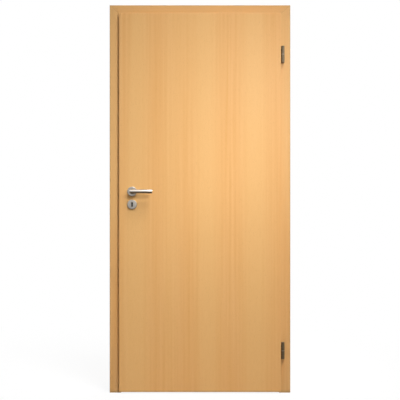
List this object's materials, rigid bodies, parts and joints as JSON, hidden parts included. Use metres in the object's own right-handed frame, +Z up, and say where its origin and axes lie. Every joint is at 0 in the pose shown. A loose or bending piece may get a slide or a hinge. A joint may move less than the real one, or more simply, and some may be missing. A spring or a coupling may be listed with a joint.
{
  "type": "hinged interior door in its frame",
  "caption": "Rebated beech-look interior door leaf hung on barrel hinges in a wrap-around casing frame, with round-tube lever handles and round rosettes.",
  "frame": {"origin": "on the wall face of the hinge-side lining, at floor level and mid-depth of the wall", "axes": "+Z up, -Y towards the side the leaf opens to, +X out of the hinge-side wall face"},
  "size_m": [0.95, 0.269, 2.037],
  "materials": {
    "frame_beech": "beech-look laminate, satin",
    "leaf_beech": "beech-look laminate, satin",
    "core_board": "raw chipboard",
    "satin_steel": "satin",
    "hinge_steel": "dark bronze lacquer, satin",
    "hinge_ring": "bright bearing ring",
    "lock_steel": "galvanised, dull",
    "seal_rubber": "brown soft seal"
  },
  "bodies": {
    "frame": {"hinge_jamb_lining": "frame_beech", "lock_jamb_lining": "frame_beech", "head_lining": "frame_beech", "hinge_jamb_front_casing": "frame_beech", "lock_jamb_front_casing": "frame_beech", "head_front_casing": "frame_beech", "hinge_jamb_back_casing": "frame_beech", "lock_jamb_back_casing": "frame_beech", "head_back_casing": "frame_beech", "hinge_jamb_seal": "seal_rubber", "lock_jamb_seal": "seal_rubber", "head_seal": "seal_rubber", "strike_plate": "lock_steel", "upper_hinge_frame_barrel": "hinge_steel", "lower_hinge_frame_barrel": "hinge_steel", "upper_hinge_ring": "hinge_ring", "lower_hinge_ring": "hinge_ring"},
    "leaf": {"leaf_front_sheet": "leaf_beech", "leaf_back_sheet": "leaf_beech", "leaf_lock_stile": "leaf_beech", "leaf_hinge_stile": "leaf_beech", "leaf_top_rail": "leaf_beech", "leaf_bottom_rail": "leaf_beech", "leaf_core": "core_board", "lock_case": "lock_steel", "lock_faceplate": "lock_steel", "latch_bolt": "lock_steel", "dead_bolt": "lock_steel", "front_handle_rosette": "satin_steel", "back_handle_rosette": "satin_steel", "front_key_rosette": "satin_steel", "back_key_rosette": "satin_steel", "upper_hinge_leaf_barrel": "hinge_steel", "lower_hinge_leaf_barrel": "hinge_steel"},
    "lever": {"front_lever": "satin_steel", "back_lever": "satin_steel", "spindle": "lock_steel"}
  },
  "joints": [
    {"name": "leaf_swing", "type": "hinge", "parent": "frame", "child": "leaf", "pos_m": [0.0125, -0.10675, 0], "axis": [0, 0, 1], "range_deg": [0, 175]},
    {"name": "lever_turn", "type": "hinge", "parent": "leaf", "child": "lever", "pos_m": [-0.777, -0.094, 1.057], "axis": [0, 1, 0], "range_deg": [0, 40], "stiffness_Nm_per_rad": 1.5, "springref_deg": -45.84}
  ]
}
